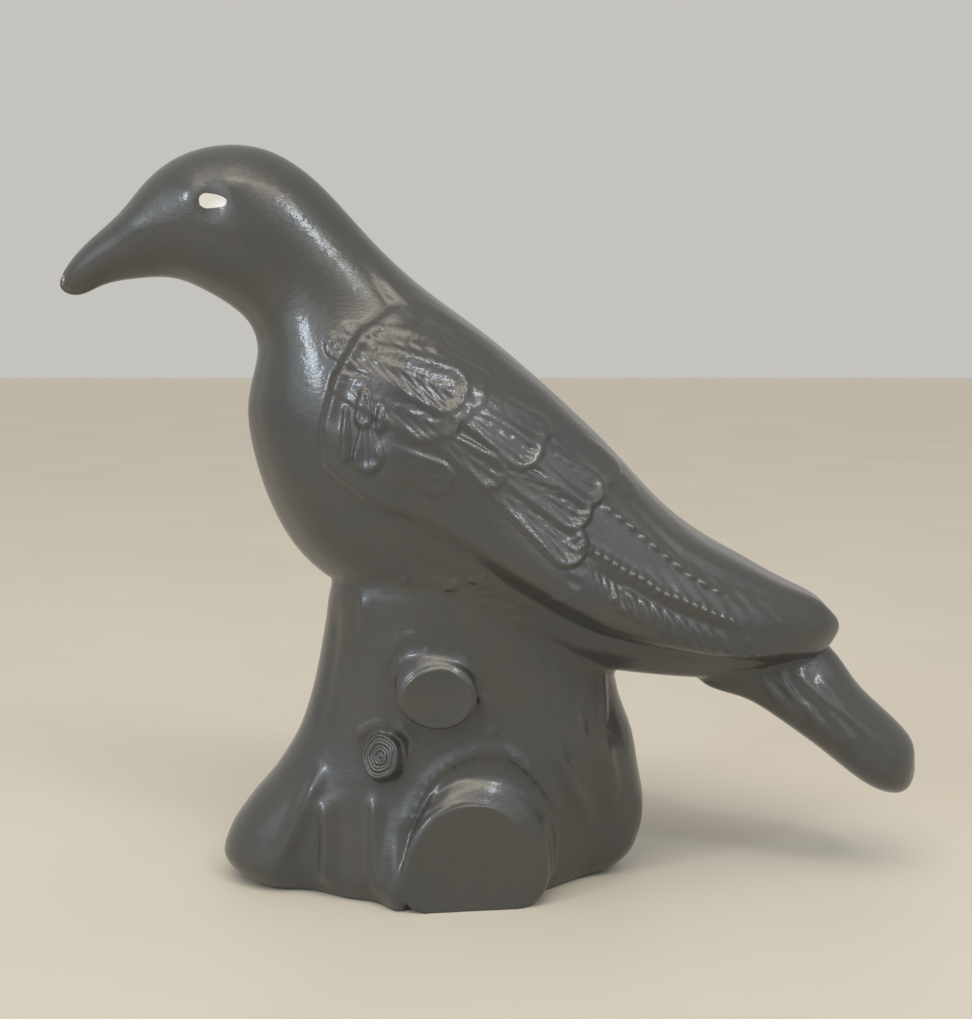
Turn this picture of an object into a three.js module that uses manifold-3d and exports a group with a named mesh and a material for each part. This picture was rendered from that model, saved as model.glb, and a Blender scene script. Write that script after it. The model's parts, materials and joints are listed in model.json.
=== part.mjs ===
// A slip-cast ceramic raven perched on a tree stump, one hollow casting shown as one solid.
// Millimetres, +Z up. The beak points towards -X, the tail towards +X, and -Y is the bird's left side.
// The origin is in the flat underside of the stump.
import * as THREE from "three";
import { mergeVertices } from "three/addons/utils/BufferGeometryUtils.js";
import Module from "manifold-3d";

const wasm = await Module();
wasm.setup();

// Stations down the bird's middle plane, from beak to wing tips:
// x and z of the back line, x and z of the belly line, and half the width there.
const BEAK_TIP = [-135.4, 221.6];
const WING_TIP = [150, 93];
const BODY_STATIONS = [
  [-131.3, 229.8, -130.4, 217.9, 4.4],
  [-122, 239.2, -120.4, 221.2, 8.2],
  [-111.6, 248.4, -107, 223.9, 12],
  [-102.3, 258.9, -94, 224, 16],
  [-89.5, 267.8, -83.5, 220.2, 20],
  [-73, 271.5, -75.2, 215.5, 22.5],
  [-58, 269.3, -68.8, 210.6, 23.4],
  [-43.5, 260.5, -64.8, 205, 23],
  [-29, 245.7, -63.4, 197, 23.5],
  [-15, 231, -65.2, 188.5, 26.5],
  [0, 218.2, -67.2, 178.5, 31],
  [17, 205.8, -66.5, 166.5, 36],
  [34, 191.9, -62.6, 150.5, 40],
  [50, 177.7, -55.8, 134.3, 42],
  [66.5, 161.6, -44, 119, 42],
  [82.7, 144.3, -18, 103, 41],
  [99, 131.2, 16, 90, 38],
  [115.4, 121.8, 54, 82, 33],
  [130, 113.7, 84, 78, 26.5],
  [142, 107.6, 110, 76.6, 20],
  [147.4, 102.6, 133, 80.5, 14],
];
// The tail, from its root inside the body to its squared end.
const TAIL_ROOT = [98, 96];
const TAIL_END = [181.8, 40];
const TAIL_STATIONS = [
  [118, 104, 100, 75, 12],
  [135, 96, 115.3, 68.6, 15],
  [149.6, 86.6, 129.1, 60.8, 16],
  [158.7, 74.6, 141.5, 52, 17],
  [168.5, 64.8, 152, 43.8, 18],
  [177.2, 56.4, 163.5, 35.4, 17.5],
  [181.2, 50.4, 170.6, 32.6, 14],
  [181.9, 45, 176.8, 33.2, 9],
];
// The stump by height: its left end, its right end and half its depth. It starts below the ground,
// where the flat underside cuts it off.
const STUMP_STATIONS = [
  [-4, -62, 54, 26],
  [0, -69, 62, 31.5],
  [3, -74.5, 68.5, 35],
  [9, -79.2, 74.8, 37.5],
  [19, -76.5, 78.6, 38],
  [30, -69.2, 79.4, 37.5],
  [42, -59.2, 77.4, 37],
  [56, -50.6, 74.8, 36.3],
  [70, -45.6, 69.8, 36],
  [84, -42.3, 67, 36.4],
  [98, -39.8, 64, 37],
  [111, -37.5, 54, 36.4],
  [121, -32, 42, 31],
  [126, -24, 32, 22],
];
const STUMP_CORNERS = 2.2;
// Swellings of the foot towards the viewer: at x, how far, half width, and the height where each has faded.
const FOOT_SWELLINGS = [
  [-45, -7, 12, 40],
  [-15, 9, 10, 44],
  [62, -19, 18, 66],
];

const BODY_RINGS = 60;
const BODY_SIDES = 46;
const TAIL_RINGS = 18;
const TAIL_SIDES = 22;
const STUMP_RINGS = 23;
const STUMP_SIDES = 54;
const SIDE_CROWDING = 0.16;

// Carving on each flank, drawn in side view as x and z.
const CLOAK_LIFT = 3.4;
const CLOAK_EDGE = 4;
const CLOAK = [
  [-27, 239],
  [-20, 227],
  [-11, 214],
  [-24, 204],
  [-32, 190],
  [-37, 172],
  [-36, 158],
  [-22, 147],
  [-4, 140],
  [13, 131],
  [29, 120],
  [46, 110],
  [61, 102],
  [80, 96],
  [101, 91],
  [125, 88],
  [165, 82],
  [165, 130],
  [60, 205],
  [-10, 260],
];
const WING_TOP_GROOVE = [
  [-2, 207],
  [22, 189],
  [46, 170],
  [64, 152],
  [75, 138],
  [86, 124],
  [100, 115],
  [119, 108],
  [140, 102],
];
const THIGH_SEAM = [
  [-9, 128],
  [3, 121],
  [21, 112],
  [36, 105],
  [52, 99],
  [70, 92],
];
const LONG_SHAFTS = [
  [[60, 144], [70, 136], [81, 127], [93, 119], [108, 111]],
  [[50, 135], [54, 130], [66, 123], [80, 115], [97, 107], [120, 100]],
  [[48, 121], [62, 113], [80, 105], [100, 99], [122, 95]],
];
const COVERT_PADS = [
  [-26, 168, 8],
  [-19, 187, 9],
  [-2, 193, 9],
  [8, 176, 9],
  [27, 174, 7],
  [33, 152, 8],
  [31, 139, 7],
  [44, 146, 8],
];
const HEAD_PADS = [
  [-69, 257, 7, 1.3],
  [-83, 253, 6, 0.9],
  [-75, 249.5, 4.5, -1.2],
  [-106, 242, 6, 0.6],
];
const TAIL_SHAFTS = [
  [[120, 79], [133, 65]],
  [[128, 79], [143, 61]],
  [[136, 79], [153, 56]],
  [[144, 76], [163, 53]],
];
const STUMP_RIDGES = [
  [[-40, 50], [-47, 32], [-52, 24], [-58, 10]],
  [[-34, 44], [-37, 28], [-39, 10]],
  [[-21, 42], [-21, 24], [-22, 4]],
  [[43, 60], [49, 47], [56, 34], [60, 20]],
  [[53, 68], [56, 50], [58, 38]],
  [[63, 56], [66, 42], [67, 26]],
];
const LOG_COLLAR = [
  [-8, 28],
  [-3, 41],
  [5, 51],
  [20, 58],
  [34, 52],
  [42, 42],
  [46, 32],
];
const BRANCH_COLLAR = [
  [-15, 84],
  [-12, 93],
  [-4, 99],
  [6, 100],
  [14, 94],
  [18, 85],
];

// The sawn log at the foot: sections towards the viewer, as y, centre x, half width, widest height and top.
const LOG_SECTIONS = [
  [-12, 20, 24, 22, 52],
  [-28, 20, 25, 20, 55],
  [-35, 19, 25.6, 16, 50],
  [-41, 16.6, 25.6, 11, 42],
  [-44.4, 15, 25.2, 8, 37],
  [-45.8, 14.6, 23, 8, 34.8],
];
const LOG_TURN = 0.13;
// The broken branch above it: y, centre x, centre z, half width and half height.
const BRANCH_SECTIONS = [
  [-14, 1, 86, 13.5, 13.5],
  [-31, 1, 85, 14.2, 13.8],
  [-37, 2, 82, 14, 12.4],
  [-41.4, 2.8, 78.6, 13.4, 11],
  [-42.6, 3, 77.6, 11.8, 9.4],
];
const KNOT_CENTRE = [-17, 56.5];
// The knot's rings: radius, and how far each stands out from its face.
const KNOT_RINGS = [
  [7.4, -9],
  [7.4, 0],
  [6.4, 1],
  [5.4, 0.2],
  [4.2, 1],
  [3, 0.2],
  [1.8, 1.1],
];
const KNOT_FACE_Y = -34.6;

const smooth = (low, high, value) => THREE.MathUtils.smoothstep(value, low, high);
const mix = THREE.MathUtils.lerp;

// A closed curve of cubic pieces through the values, with one bend where two pieces meet.
function smoothLoop(knots, values, lap) {
  const count = values.length;
  const span = (i) => (i + 1 < count ? knots[i + 1] : knots[0] + lap) - knots[i];
  const bend = new Float64Array(count);
  const passes = 80;
  for (let pass = 0; pass < passes; pass++) {
    for (let i = 0; i < count; i++) {
      const before = (i + count - 1) % count;
      const after = (i + 1) % count;
      const left = span(before);
      const right = span(i);
      const turn = (values[after] - values[i]) / right - (values[i] - values[before]) / left;
      bend[i] = (6 * turn - left * bend[before] - right * bend[after]) / (2 * (left + right));
    }
  }
  return (u) => {
    const i = Math.max(0, knots.findLastIndex((knot) => knot <= u));
    const after = (i + 1) % count;
    const b = (u - knots[i]) / span(i);
    const a = 1 - b;
    const sag = (span(i) ** 2 / 6) * ((a ** 3 - a) * bend[i] + (b ** 3 - b) * bend[after]);
    return a * values[i] + b * values[after] + sag;
  };
}

// A point of a section at a turn from its top: a circle with fuller or leaner corners.
function sectionPoint(turn, corners) {
  const c = Math.cos(turn);
  const s = Math.sin(turn);
  return [Math.sign(c) * Math.abs(c) ** (2 / corners), Math.sign(s) * Math.abs(s) ** (2 / corners)];
}

// Rings through stations of a back line and a belly line, which meet in a tip at each end.
function bodyRings(stations, startTip, endTip, rings, sides, corners) {
  const back = [startTip, ...stations.map((s) => [s[0], s[1]]), endTip];
  const belly = [startTip, ...stations.map((s) => [s[2], s[3]]), endTip];
  const widths = [0, ...stations.map((s) => s[4]), 0];
  const gap = (line, i) => Math.hypot(line[i + 1][0] - line[i][0], line[i + 1][1] - line[i][1]);
  const way = [0];
  for (let i = 0; i + 1 < back.length; i++) way.push(way[i] + (gap(back, i) + gap(belly, i)) / 2);
  const length = way.at(-1);
  const inner = stations.map((s, i) => i + 1).reverse();
  const knots = [...way, ...inner.map((i) => 2 * length - way[i])];
  const loopOf = (line, axis) => [...line.map((p) => p[axis]), ...inner.map((i) => belly[i][axis])];
  const x = smoothLoop(knots, loopOf(back, 0), 2 * length);
  const z = smoothLoop(knots, loopOf(back, 1), 2 * length);
  const width = smoothLoop(knots, [...widths, ...inner.map((i) => -widths[i])], 2 * length);
  const made = [];
  for (let r = 1; r <= rings; r++) {
    const at = (length * r) / (rings + 1);
    const top = new THREE.Vector3(x(at), 0, z(at));
    const bottom = new THREE.Vector3(x(2 * length - at), 0, z(2 * length - at));
    const middle = top.clone().add(bottom).divideScalar(2);
    const half = top.clone().sub(middle);
    const ring = [];
    for (let s = 0; s < sides; s++) {
      const even = (2 * Math.PI * s) / sides;
      const [up, out] = sectionPoint(even + SIDE_CROWDING * Math.sin(2 * even), corners(at / length));
      ring.push(middle.clone().addScaledVector(half, up).setY(-width(at) * out));
    }
    made.push(ring);
  }
  return made;
}

// A closed skin over the rings, each of its squares split along the shorter diagonal.
// Each end is closed to a point, given or at the middle of its ring.
function skin(rings, tips = []) {
  const sides = rings[0].length;
  const points = rings.flat();
  const faces = [];
  for (let r = 0; r + 1 < rings.length; r++) {
    for (let s = 0; s < sides; s++) {
      const a = r * sides + s;
      const b = r * sides + ((s + 1) % sides);
      const falling = points[a].distanceTo(points[b + sides]) < points[b].distanceTo(points[a + sides]);
      if (falling) faces.push(a, b, b + sides, a, b + sides, a + sides);
      else faces.push(a, b, a + sides, b, b + sides, a + sides);
    }
  }
  const middleOf = (ring) => {
    const sum = new THREE.Vector3();
    ring.forEach((p) => sum.add(p));
    return sum.divideScalar(ring.length);
  };
  const ends = [
    [0, tips[0] ?? middleOf(rings[0]), 1],
    [(rings.length - 1) * sides, tips[1] ?? middleOf(rings.at(-1)), 0],
  ];
  for (const [first, tip, opening] of ends) {
    const end = points.push(tip) - 1;
    for (let s = 0; s < sides; s++) {
      const a = first + s;
      const b = first + ((s + 1) % sides);
      if (opening) faces.push(end, b, a);
      else faces.push(end, a, b);
    }
  }
  const geometry = new THREE.BufferGeometry().setFromPoints(points).setIndex(faces);
  geometry.computeVertexNormals();
  return geometry;
}

// How far a point of the side view is from a path.
function distanceTo(path, x, z) {
  let nearest = Infinity;
  for (let i = 0; i + 1 < path.length; i++) {
    const [ax, az] = path[i];
    const [bx, bz] = path[i + 1];
    const along = ((x - ax) * (bx - ax) + (z - az) * (bz - az)) / ((bx - ax) ** 2 + (bz - az) ** 2);
    const t = THREE.MathUtils.clamp(along, 0, 1);
    nearest = Math.min(nearest, Math.hypot(x - mix(ax, bx, t), z - mix(az, bz, t)));
  }
  return nearest;
}

// The same distance from a closed outline, positive inside it.
function depthInside(outline, x, z) {
  let inside = false;
  outline.forEach(([ax, az], i) => {
    const [bx, bz] = outline[(i + 1) % outline.length];
    if (az > z !== bz > z && x < ax + ((bx - ax) * (z - az)) / (bz - az)) inside = !inside;
  });
  return distanceTo([...outline, outline[0]], x, z) * (inside ? 1 : -1);
}

const ridge = (path, x, z, height, halfWidth) =>
  height * Math.exp(-((distanceTo(path, x, z) / halfWidth) ** 2));
const pad = (centreX, centreZ, x, z, radius, height) =>
  height * Math.exp(-(((x - centreX) ** 2 + (z - centreZ) ** 2) / radius ** 2));

// The skin with each point moved along its normal by a height read in side view,
// which fades out towards the silhouette.
function carvedSkin(rings, heightAt, tips) {
  const normal = skin(rings, tips).attributes.normal;
  const sides = rings[0].length;
  const faded = 0.12;
  const full = 0.55;
  const carved = rings.map((ring, r) =>
    ring.map((point, s) => {
      const outward = new THREE.Vector3().fromBufferAttribute(normal, r * sides + s);
      const lift = heightAt(point.x, point.z, point.y) * smooth(faded, full, Math.abs(outward.y));
      return point.clone().addScaledVector(outward, lift);
    }),
  );
  return skin(carved, tips);
}

// The cloak of mantle and wing, its feathers, the seam over the thigh, and the brow and eye hollow.
function featherHeight(x, z) {
  let height = CLOAK_LIFT * (smooth(-CLOAK_EDGE, CLOAK_EDGE, depthInside(CLOAK, x, z)) - 0.5);
  height += ridge(WING_TOP_GROOVE, x, z, -0.9, 3.5);
  height += ridge(THIGH_SEAM, x, z, -1.6, 4);
  LONG_SHAFTS.forEach((shaft) => (height += ridge(shaft, x, z, 1.1, 3)));
  COVERT_PADS.forEach(([px, pz, radius]) => (height += pad(px, pz, x, z, radius, 1)));
  HEAD_PADS.forEach(([px, pz, radius, lift]) => (height += pad(px, pz, x, z, radius, lift)));
  return height;
}

const tailHeight = (x, z) =>
  TAIL_SHAFTS.reduce((height, shaft) => height + ridge(shaft, x, z, 0.9, 2.2), 0);

// Bark and root ridges on both sides, and the collars and the knot's hollow on the left one.
function barkHeight(x, z, y) {
  let height = STUMP_RIDGES.reduce((sum, path) => sum + ridge(path, x, z, 2.4, 4), 0);
  if (y < 0) {
    height += ridge(LOG_COLLAR, x, z, 1.8, 4);
    height += ridge(BRANCH_COLLAR, x, z, 1.6, 3.4);
    height += pad(KNOT_CENTRE[0], KNOT_CENTRE[1], x, z, 10, -1.4);
  }
  return height;
}

function footSwelling(x, height) {
  return FOOT_SWELLINGS.reduce(
    (sum, [centre, reach, halfWidth, faded]) =>
      sum + reach * Math.exp(-(((x - centre) / halfWidth) ** 2)) * (1 - smooth(0, faded, height)),
    0,
  );
}

function stumpGeometry() {
  const curveOf = (column) =>
    new THREE.CatmullRomCurve3(
      STUMP_STATIONS.map((s) => new THREE.Vector3(s[column], 0, s[0])),
      false,
      "centripetal",
    );
  const [left, right, depth] = [1, 2, 3].map(curveOf);
  const rings = [];
  for (let r = 0; r <= STUMP_RINGS; r++) {
    const t = r / STUMP_RINGS;
    const l = left.getPoint(t);
    const g = right.getPoint(t);
    const d = depth.getPoint(t);
    const height = (l.z + g.z + d.z) / 3;
    const ring = [];
    for (let s = 0; s < STUMP_SIDES; s++) {
      const [across, out] = sectionPoint((2 * Math.PI * s) / STUMP_SIDES, STUMP_CORNERS);
      const x = mix(l.x, g.x, (1 + across) / 2);
      const swelling = out < 0 ? footSwelling(x, height) : 0;
      ring.push(new THREE.Vector3(x, (d.x + swelling) * out, height));
    }
    rings.push(ring);
  }
  return carvedSkin(rings, barkHeight);
}

function logGeometry() {
  const sides = 36;
  const rings = LOG_SECTIONS.map(([y, x, halfWidth, widest, top]) => {
    const ring = [];
    for (let s = 0; s < sides; s++) {
      const turn = (2 * Math.PI * s) / sides;
      const up = Math.cos(turn) > 0;
      const [rise, out] = sectionPoint(turn, up ? 2.1 : 2.8);
      const height = up ? top - widest : widest + 1.5;
      const across = -halfWidth * out;
      ring.push(new THREE.Vector3(x + across, y + LOG_TURN * across, widest + height * rise));
    }
    return ring;
  });
  return skin(rings);
}

function branchGeometry() {
  const sides = 28;
  const rings = BRANCH_SECTIONS.map(([y, x, z, halfWidth, halfHeight]) =>
    Array.from({ length: sides }, (_, s) => {
      const turn = (2 * Math.PI * s) / sides;
      return new THREE.Vector3(x - halfWidth * Math.sin(turn), y, z + halfHeight * Math.cos(turn));
    }),
  );
  return skin(rings);
}

// The knot's rings lie about an axis that points straight out of the stump's left side.
function knotGeometry() {
  const sides = 20;
  const rings = KNOT_RINGS.map(([radius, out]) =>
    Array.from({ length: sides }, (_, s) => {
      const turn = (2 * Math.PI * s) / sides;
      const x = KNOT_CENTRE[0] - radius * Math.sin(turn);
      return new THREE.Vector3(x, KNOT_FACE_Y - out, KNOT_CENTRE[1] + radius * Math.cos(turn));
    }),
  );
  return skin(rings);
}

function solidOf(geometry) {
  return new wasm.Manifold(
    new wasm.Mesh({
      numProp: 3,
      vertProperties: new Float32Array(geometry.attributes.position.array),
      triVerts: new Uint32Array(geometry.index.array),
    }),
  );
}

function geometryOf(solid) {
  const mesh = solid.getMesh();
  const geometry = new THREE.BufferGeometry();
  geometry.setAttribute("position", new THREE.BufferAttribute(mesh.vertProperties, 3));
  geometry.setIndex(new THREE.BufferAttribute(mesh.triVerts, 1));
  geometry.computeVertexNormals();
  return geometry;
}

const tipOf = ([x, z]) => new THREE.Vector3(x, 0, z);
const bodyCorners = (share) => mix(2, 2.5, smooth(0.5, 0.8, share));
const body = carvedSkin(
  bodyRings(BODY_STATIONS, BEAK_TIP, WING_TIP, BODY_RINGS, BODY_SIDES, bodyCorners),
  featherHeight,
  [tipOf(BEAK_TIP), tipOf(WING_TIP)],
);
const tail = carvedSkin(
  bodyRings(TAIL_STATIONS, TAIL_ROOT, TAIL_END, TAIL_RINGS, TAIL_SIDES, () => 2.2),
  tailHeight,
  [tipOf(TAIL_ROOT), tipOf(TAIL_END)],
);
const groundDepth = 20;
const ground = new THREE.BoxGeometry(400, 400, groundDepth).translate(0, 0, -groundDepth / 2);
ground.deleteAttribute("normal");
ground.deleteAttribute("uv");

const cast = [tail, stumpGeometry(), logGeometry(), branchGeometry(), knotGeometry()]
  .map(solidOf)
  .reduce((whole, piece) => whole.add(piece), solidOf(body))
  .subtract(solidOf(mergeVertices(ground)));

const raven = new THREE.Group();
const figure = new THREE.Mesh(
  geometryOf(cast),
  new THREE.MeshStandardMaterial({ color: 0x3a3835, roughness: 0.38, metalness: 0 }),
);
figure.name = "raven_figurine";
raven.add(figure);

export default raven;
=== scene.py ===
# %% [markdown]
# # A ceramic raven, painted black
#
# The real object is one hollow casting. Liquid clay is poured into a two-part mould, so the bird, the stump
# under it and the sawn log at its foot come out as one piece, and every edge where two forms meet is a
# little rounded. The fired clay is then brushed with black paint, and a dab of white makes each eye.
#
# In Blender it becomes one mesh, made the way the modeller of the mould worked: first the large forms, then
# the carving on them, then the joining of the forms, and the paint last. All lengths are written in
# millimetres in the part's own frame: x runs from beak to tail, y from the bird's left side to its right,
# and z up from the underside of the stump.

# %% Load the frame
import json

import bpy
import numpy as np
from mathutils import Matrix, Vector

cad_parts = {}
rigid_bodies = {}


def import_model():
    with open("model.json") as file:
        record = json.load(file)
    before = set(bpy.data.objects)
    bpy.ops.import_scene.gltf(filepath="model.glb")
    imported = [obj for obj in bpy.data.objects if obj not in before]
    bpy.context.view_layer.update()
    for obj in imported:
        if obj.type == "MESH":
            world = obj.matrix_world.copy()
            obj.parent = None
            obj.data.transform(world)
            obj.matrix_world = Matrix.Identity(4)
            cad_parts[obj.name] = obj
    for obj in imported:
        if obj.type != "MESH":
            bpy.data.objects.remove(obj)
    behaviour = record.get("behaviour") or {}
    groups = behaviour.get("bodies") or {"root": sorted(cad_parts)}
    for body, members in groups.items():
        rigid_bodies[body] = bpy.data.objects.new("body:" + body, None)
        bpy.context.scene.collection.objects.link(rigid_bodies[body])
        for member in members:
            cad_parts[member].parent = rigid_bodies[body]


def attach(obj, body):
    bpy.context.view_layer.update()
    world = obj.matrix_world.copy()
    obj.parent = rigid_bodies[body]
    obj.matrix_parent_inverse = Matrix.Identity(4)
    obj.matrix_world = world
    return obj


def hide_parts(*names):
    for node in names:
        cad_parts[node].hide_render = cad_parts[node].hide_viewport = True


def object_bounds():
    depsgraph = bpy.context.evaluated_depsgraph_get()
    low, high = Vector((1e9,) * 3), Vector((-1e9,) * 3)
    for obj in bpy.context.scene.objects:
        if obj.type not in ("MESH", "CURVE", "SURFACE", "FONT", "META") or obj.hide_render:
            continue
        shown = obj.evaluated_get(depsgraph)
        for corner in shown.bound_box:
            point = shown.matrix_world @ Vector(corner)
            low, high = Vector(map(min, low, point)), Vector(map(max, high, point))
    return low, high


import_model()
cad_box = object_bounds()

MM = 0.001
FIGURE = "raven_figurine"

cad_size = [(high - low) / MM for low, high in zip(*cad_box)]
print("the solid measures", [round(size, 1) for size in cad_size], "mm")

# %% [markdown]
# ## Curves that run smoothly through a few measured places
#
# A modeller checks a form with a few templates, held up at chosen places, and lets the hand run smoothly
# from one to the next. A cubic spline does the same with numbers. Two kinds are enough here. The first runs
# in a closed loop, so the outline of the bird in side view passes round the beak and the wing tips without
# a corner. The second is open, and it carries the width of the stump from the ground to the bird's feet.


# %% Splines
def smooth(low, high, value):
    """0 below low, 1 above high, and 3t^2 - 2t^3 between them, where t runs from 0 to 1."""
    t = np.clip((value - low) / (high - low), 0, 1)
    return t * t * (3 - 2 * t)


def mix(a, b, share):
    """a(1 - share) + b share."""
    return a + (b - a) * share


def closed_spline(knots, values, lap, at):
    """A closed curve of cubic pieces through the values, with one bend where two pieces meet.

    The bends M solve left M0 + 2 (left + right) M1 + right M2 = 6 (slope after - slope before), and between
    two knots the value is a v0 + b v1 + span^2 ((a^3 - a) M0 + (b^3 - b) M1) / 6, with a = 1 - b.
    """
    knots, values = np.array(knots, float), np.array(values, float)
    count = len(values)
    right = np.append(knots[1:], knots[0] + lap) - knots
    left = np.roll(right, 1)
    slope = (np.roll(values, -1) - values) / right
    system = np.diag(2 * (left + right))
    row = np.arange(count)
    system[row, (row - 1) % count] += left
    system[row, (row + 1) % count] += right
    bend = np.linalg.solve(system, 6 * (slope - np.roll(slope, 1)))
    i = np.clip(np.searchsorted(knots, at, side="right") - 1, 0, count - 1)
    after = (i + 1) % count
    b = (at - knots[i]) / right[i]
    a = 1 - b
    sag = right[i] ** 2 / 6 * ((a**3 - a) * bend[i] + (b**3 - b) * bend[after])
    return a * values[i] + b * values[after] + sag


def open_spline(points, at):
    """A curve through the points, one step of at from each to the next.

    Between p1 and p2 it is the cubic that leaves p1 and meets p2 with slopes read from both neighbours, each
    weighed by the square root of its distance, which keeps the curve from swinging out between near points.
    """
    points = np.array(points, float)
    padded = np.vstack([2 * points[0] - points[1], points, 2 * points[-1] - points[-2]])
    i = np.clip(np.floor(at).astype(int), 0, len(points) - 2)
    t = (at - i)[:, None]
    p0, p1, p2, p3 = (padded[i + k] for k in range(4))
    d0, d1, d2 = (np.sqrt(np.linalg.norm(q - p, axis=1))[:, None] for p, q in ((p0, p1), (p1, p2), (p2, p3)))
    start = ((p1 - p0) / d0 - (p2 - p0) / (d0 + d1) + (p2 - p1) / d1) * d1
    end = ((p2 - p1) / d1 - (p3 - p1) / (d1 + d2) + (p3 - p2) / d2) * d1
    return p1 + start * t + (3 * (p2 - p1) - 2 * start - end) * t**2 + (2 * (p1 - p2) + start + end) * t**3


print("smooth(0, 1, 0.25) is", round(float(smooth(0, 1, 0.25)), 3))

# %% [markdown]
# ## The bird's body
#
# In side view a bird has two outlines, the back line and the belly line, and both start at the tip of the
# beak and end at the tips of the folded wings. Each station below holds a point of both lines and half the
# width of the body there. Every ring of the skin hangs between the two lines: it is an ellipse with slightly
# full corners, as high as the lines are apart and as wide as the station says.
#
# One long closed spline runs out along the back and home along the belly. So the ends close as round as an
# egg, which two separate curves would not do. The rings are not evenly spread. They lie closer together
# over the folded wing, where most of the carving is, and each ring has most of its points on the flanks.

# %% Stations of the body, in millimetres: back x and z, belly x and z, half width
BEAK_TIP = [-135.4, 221.6]
WING_TIP = [150, 93]
BODY_STATIONS = [
    [-131.3, 229.8, -130.4, 217.9, 4.4],
    [-122, 239.2, -120.4, 221.2, 8.2],
    [-111.6, 248.4, -107, 223.9, 12],
    [-102.3, 258.9, -94, 224, 16],
    [-89.5, 267.8, -83.5, 220.2, 20],
    [-73, 271.5, -75.2, 215.5, 22.5],
    [-58, 269.3, -68.8, 210.6, 23.4],
    [-43.5, 260.5, -64.8, 205, 23],
    [-29, 245.7, -63.4, 197, 23.5],
    [-15, 231, -65.2, 188.5, 26.5],
    [0, 218.2, -67.2, 178.5, 31],
    [17, 205.8, -66.5, 166.5, 36],
    [34, 191.9, -62.6, 150.5, 40],
    [50, 177.7, -55.8, 134.3, 42],
    [66.5, 161.6, -44, 119, 42],
    [82.7, 144.3, -18, 103, 41],
    [99, 131.2, 16, 90, 38],
    [115.4, 121.8, 54, 82, 33],
    [130, 113.7, 84, 78, 26.5],
    [142, 107.6, 110, 76.6, 20],
    [147.4, 102.6, 133, 80.5, 14],
]


# %% Rings between two outlines
def crowded(count, bumps):
    """count shares from 0 to 1 that lie closer together near each bump (centre, spread, gain).

    Their density is 1 + the sum of gain exp(-((share - centre) / spread)^2), summed up and divided evenly.
    """
    fine = np.linspace(0, 1, 2001)
    density = 1 + sum(gain * np.exp(-(((fine - centre) / spread) ** 2)) for centre, spread, gain in bumps)
    filled = np.concatenate([[0], np.cumsum((density[1:] + density[:-1]) / 2)])
    return np.interp(np.arange(count) / count, filled / filled[-1], fine)


def section(turn, corners):
    """Height and breadth of a round section at a turn from its top: cosine and sine to the power 2/corners."""
    c, s = np.cos(turn), np.sin(turn)
    return np.sign(c) * np.abs(c) ** (2 / corners), np.sign(s) * np.abs(s) ** (2 / corners)


def loft(stations, start, end, shares, turns, corners, droop=0.0):
    """Rings of points: middle + half section height * up, and half width * out (1 - droop up).

    Both lines and the width are splines. A droop moves the widest place of each ring towards the belly.
    """
    table = np.array(stations, float)
    back = np.vstack([start, table[:, :2], end])
    belly = np.vstack([start, table[:, 2:4], end])
    width = np.concatenate([[0], table[:, 4], [0]])
    steps = (np.hypot(*np.diff(back, axis=0).T) + np.hypot(*np.diff(belly, axis=0).T)) / 2
    way = np.concatenate([[0], np.cumsum(steps)])
    length = way[-1]
    home = slice(-2, 0, -1)
    knots = np.concatenate([way, 2 * length - way[home]])
    around = [np.concatenate([back[:, k], belly[home, k]]) for k in range(2)] + [np.append(width, -width[home])]
    at = length * shares
    x_back, z_back, half_width = (closed_spline(knots, line, 2 * length, at) for line in around)
    x_belly, z_belly = (closed_spline(knots, line, 2 * length, 2 * length - at) for line in around[:2])
    up, out = section(turns[None, :], corners[:, None])
    ring = lambda high, low: (high + low)[:, None] / 2 + (high - low)[:, None] / 2 * up
    return np.stack([ring(x_back, x_belly), -half_width[:, None] * out * (1 - droop * up), ring(z_back, z_belly)], -1)


BODY_RINGS = 348
BODY_SIDES = 212
body_shares = crowded(BODY_RINGS + 1, [(0.65, 0.2, 1.8)])[1:]
body_turns = 2 * np.pi * crowded(BODY_SIDES, [(0.25, 0.12, 3), (0.75, 0.13, 0.5)])
body_corners = mix(2, 2.5, smooth(0.5, 0.8, body_shares))
body_rings = loft(BODY_STATIONS, BEAK_TIP, WING_TIP, body_shares, body_turns, body_corners)
print("body:", body_rings.shape[0], "rings of", body_rings.shape[1], "points")

# %% [markdown]
# ## A closed skin, and carving on it
#
# The skin joins each ring to the next with triangles and closes both ends to a point. Carving then moves
# every point a little way in or out, straight off the surface. How far is read from a height, which is
# worked out in side view, from x and z alone, as a carver draws the feathers on the flank of the block. It
# fades out towards the back and belly, where a two-part mould has no undercuts to give.


# %% Skin, normals and carving
def skin(rings, start, end):
    """Points and triangles of a closed skin. Squares between rings are split along the shorter diagonal."""
    count, sides = rings.shape[:2]
    points = np.concatenate([rings.reshape(-1, 3), [start], [end]])
    ring, side = np.meshgrid(np.arange(count - 1), np.arange(sides), indexing="ij")
    a = (ring * sides + side).ravel()
    b = (ring * sides + (side + 1) % sides).ravel()
    c, d = b + sides, a + sides
    falling = np.linalg.norm(points[a] - points[c], axis=1) < np.linalg.norm(points[b] - points[d], axis=1)
    first = np.stack([a, b, np.where(falling, c, d)], 1)
    second = np.stack([np.where(falling, a, b), c, d], 1)
    side = np.arange(sides)
    after = (side + 1) % sides
    last = (count - 1) * sides
    opening = np.stack([np.full(sides, len(points) - 2), after, side], 1)
    closing = np.stack([np.full(sides, len(points) - 1), last + side, last + after], 1)
    return points, np.concatenate([first, second, opening, closing])


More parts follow.
